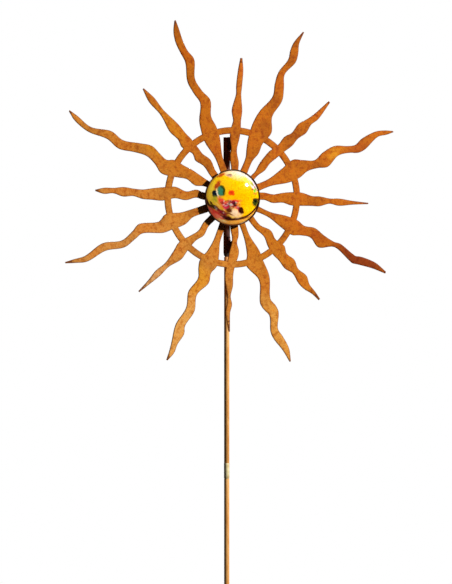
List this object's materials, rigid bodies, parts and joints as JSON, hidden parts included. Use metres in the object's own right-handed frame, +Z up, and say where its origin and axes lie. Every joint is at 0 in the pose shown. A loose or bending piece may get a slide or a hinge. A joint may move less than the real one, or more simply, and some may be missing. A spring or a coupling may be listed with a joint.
{
  "type": "garden sun spinner",
  "caption": "Rusted steel sun with wavy rays, a hoop and a coloured glass centre, which swivels on top of a pointed ground stake made of jointed bars.",
  "frame": {"origin": "on the axis of the stake, at the ground line", "axes": "+Z up along the stake, the sun's face towards -Y, +X to the right of someone who looks at the face"},
  "size_m": [0.5094, 0.062, 1.6775],
  "materials": {
    "rusted_sheet": "matt rust patina with darker cut edges",
    "rusted_bar": "matt rust patina, drawn bar",
    "dark_steel": "blackened steel, welded",
    "cup_steel": "dark brown baked finish",
    "art_glass": "glossy fused glass in swirled colours",
    "silicone": "cured translucent silicone",
    "zinc_steel": "yellow-green passivated zinc plate",
    "nylon": "black machined nylon",
    "bearing_steel": "ground and polished"
  },
  "bodies": {
    "stake": {"pivot_ball": "bearing_steel", "spindle": "bearing_steel", "upper_bar": "rusted_bar", "upper_joint": "zinc_steel", "middle_bar": "rusted_bar", "lower_joint": "zinc_steel", "ground_bar": "rusted_bar"},
    "head": {"sun_wheel": "rusted_sheet", "glass_cup": "cup_steel", "silicone_bed": "silicone", "glass_dome": "art_glass", "cup_screw": "zinc_steel", "cup_washer": "zinc_steel", "cup_nut": "zinc_steel", "swivel_tube": "dark_steel", "top_plug": "dark_steel", "upper_bush": "nylon", "lower_bush": "nylon", "upper_bracket": "dark_steel", "lower_bracket": "dark_steel"}
  },
  "joints": [
    {"name": "head_swivel", "type": "hinge", "parent": "stake", "child": "head", "pos_m": [0, 0, 1.166], "axis": [0, 0, 1], "continuous": true}
  ]
}
